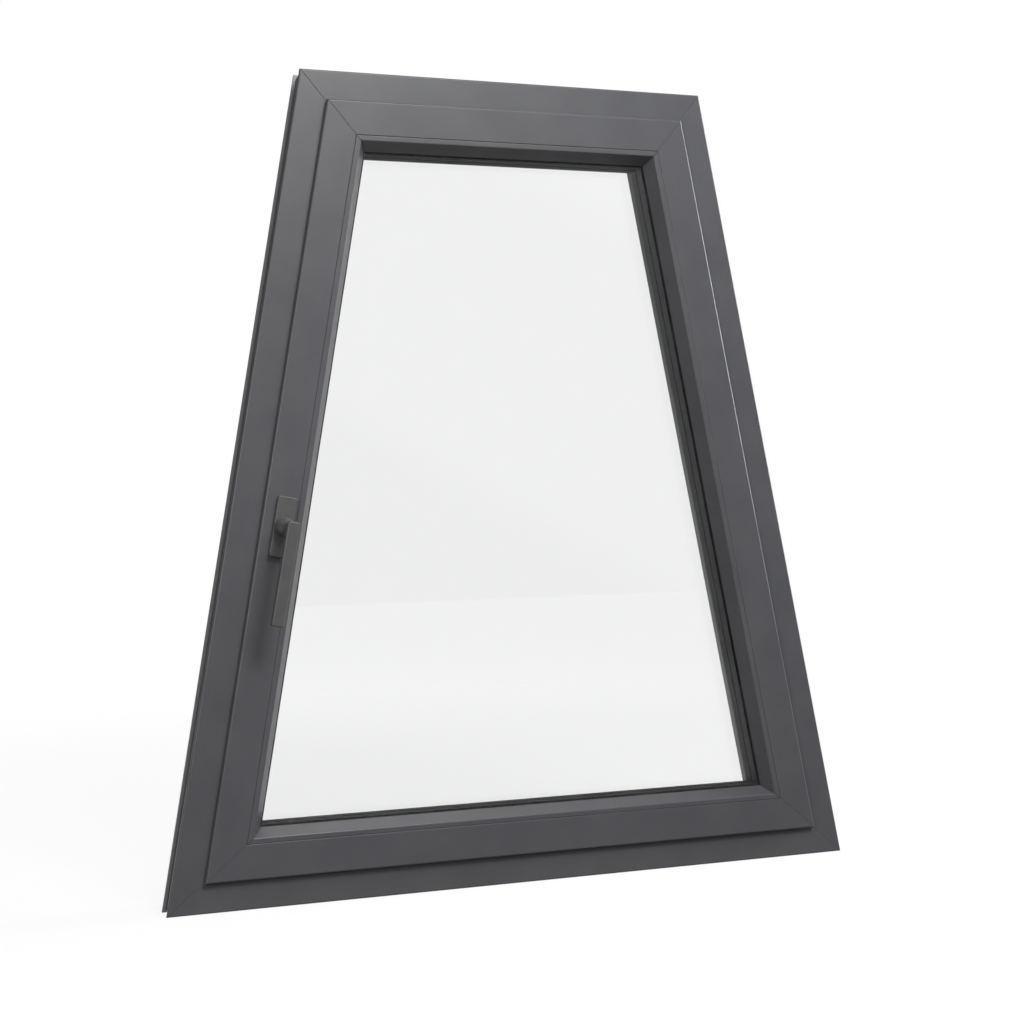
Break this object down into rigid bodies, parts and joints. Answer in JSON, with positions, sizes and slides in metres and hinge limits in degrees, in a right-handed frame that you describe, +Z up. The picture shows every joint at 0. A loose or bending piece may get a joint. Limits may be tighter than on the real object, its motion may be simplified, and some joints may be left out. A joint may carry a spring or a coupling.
{
  "type": "trapezoid pvc window",
  "caption": "Trapezoid plastic window with sloped sides: mitred frame, sash, sealed glazing and a lever handle on the left stile.",
  "frame": {"origin": "middle of the foot, the fin under the sill rail that stands on the sill of the opening", "axes": "+X to the right and +Y to the outside, both as seen from the room, +Z up"},
  "size_m": [0.985, 0.1701, 1.1],
  "materials": {
    "frame_pvc": "satin grey foil",
    "sash_pvc": "satin grey foil",
    "bead_pvc": "satin grey foil",
    "seal_rubber": "matte black",
    "glass": "clear float glass",
    "spacer_bar": "matte",
    "handle_coat": "satin anthracite",
    "spindle_steel": "zinc plated",
    "cap_plastic": "satin"
  },
  "bodies": {
    "window": {"bead_bottom": "bead_pvc", "bead_left": "bead_pvc", "bead_right": "bead_pvc", "bead_seal_bottom": "seal_rubber", "bead_seal_left": "seal_rubber", "bead_seal_right": "seal_rubber", "bead_seal_top": "seal_rubber", "bead_top": "bead_pvc", "drain_cap_left": "cap_plastic", "drain_cap_right": "cap_plastic", "frame_bottom": "frame_pvc", "frame_left": "frame_pvc", "frame_right": "frame_pvc", "frame_top": "frame_pvc", "glazing_seal_bottom": "seal_rubber", "glazing_seal_left": "seal_rubber", "glazing_seal_right": "seal_rubber", "glazing_seal_top": "seal_rubber", "handle_rosette": "handle_coat", "overlap_seal_bottom": "seal_rubber", "overlap_seal_left": "seal_rubber", "overlap_seal_right": "seal_rubber", "overlap_seal_top": "seal_rubber", "pane_middle": "glass", "pane_outside": "glass", "pane_room": "glass", "sash_bottom": "sash_pvc", "sash_left": "sash_pvc", "sash_right": "sash_pvc", "sash_top": "sash_pvc", "spacer_outside_bottom": "spacer_bar", "spacer_outside_left": "spacer_bar", "spacer_outside_right": "spacer_bar", "spacer_outside_top": "spacer_bar", "spacer_room_bottom": "spacer_bar", "spacer_room_left": "spacer_bar", "spacer_room_right": "spacer_bar", "spacer_room_top": "spacer_bar", "stop_seal_bottom": "seal_rubber", "stop_seal_left": "seal_rubber", "stop_seal_right": "seal_rubber", "stop_seal_top": "seal_rubber"},
    "handle": {"handle_neck": "handle_coat", "handle_lever": "handle_coat", "handle_spindle": "spindle_steel"}
  },
  "joints": [
    {"name": "handle_turn", "type": "hinge", "parent": "window", "child": "handle", "pos_m": [-0.33336, -0.0486, 0.495], "axis": [0, -1, 0], "range_deg": [0, 90]}
  ]
}
